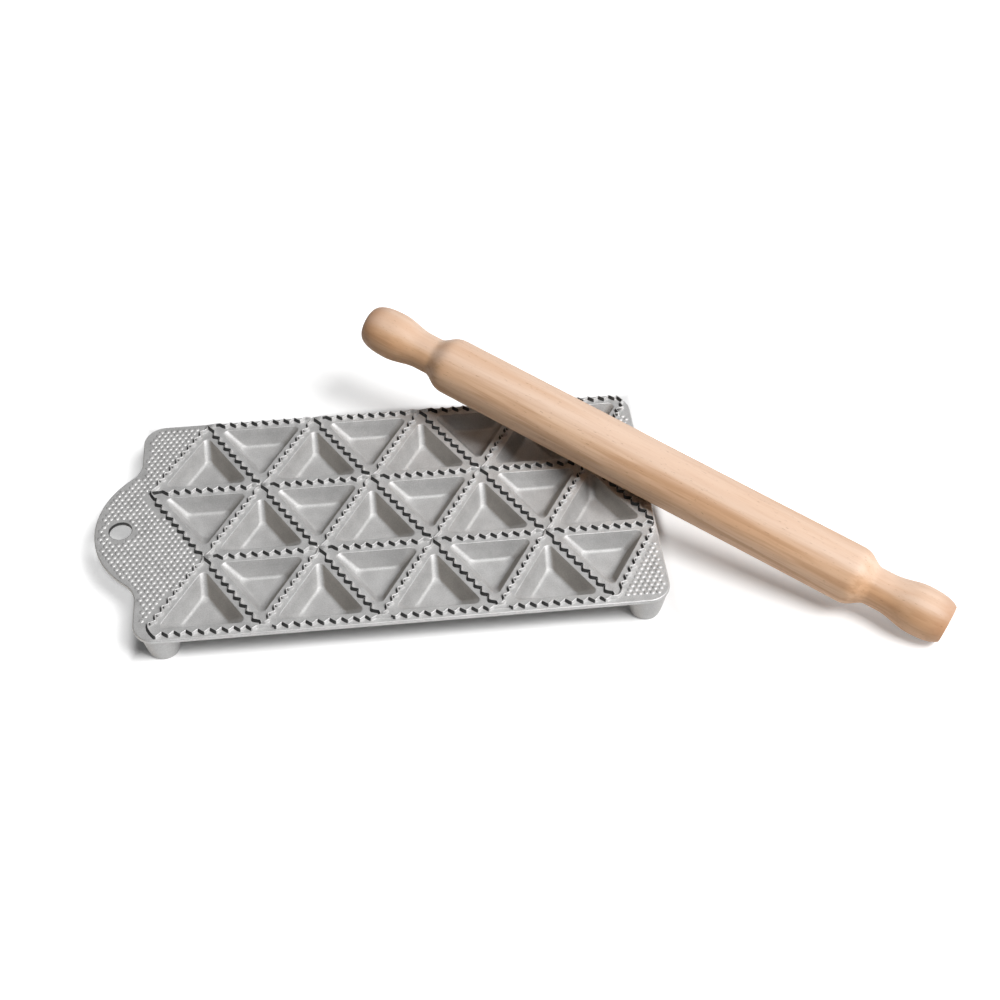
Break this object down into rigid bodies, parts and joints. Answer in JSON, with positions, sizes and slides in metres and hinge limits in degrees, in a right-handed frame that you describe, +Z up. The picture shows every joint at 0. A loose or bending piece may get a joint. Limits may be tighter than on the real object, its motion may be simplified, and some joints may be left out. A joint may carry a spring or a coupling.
{
  "type": "ravioli mould with rolling pin",
  "caption": "Cast ravioli tray on four feet, with triangular pockets between zigzag cutting ridges and a grip with a hanging hole, and a turned wooden rolling pin that leans on it.",
  "frame": {"origin": "on the table under the middle of the outer box of the tray and its rolling pin together", "axes": "+X along the tray's rows of pockets, away from the grip; +Y from the front of the tray to its back; +Z up"},
  "size_m": [0.4056, 0.203, 0.0687],
  "materials": {
    "cast_aluminium": "satin as cast, slightly mottled",
    "beech": "sanded, unvarnished"
  },
  "bodies": {
    "tray": {"ravioli_tray": "cast_aluminium"},
    "pin": {"rolling_pin": "beech"}
  },
  "joints": [
    {"name": "rolling_pin_lift", "type": "slide", "parent": "tray", "child": "pin", "axis": [0, 0, 1], "range_m": [0, 0.12]}
  ]
}
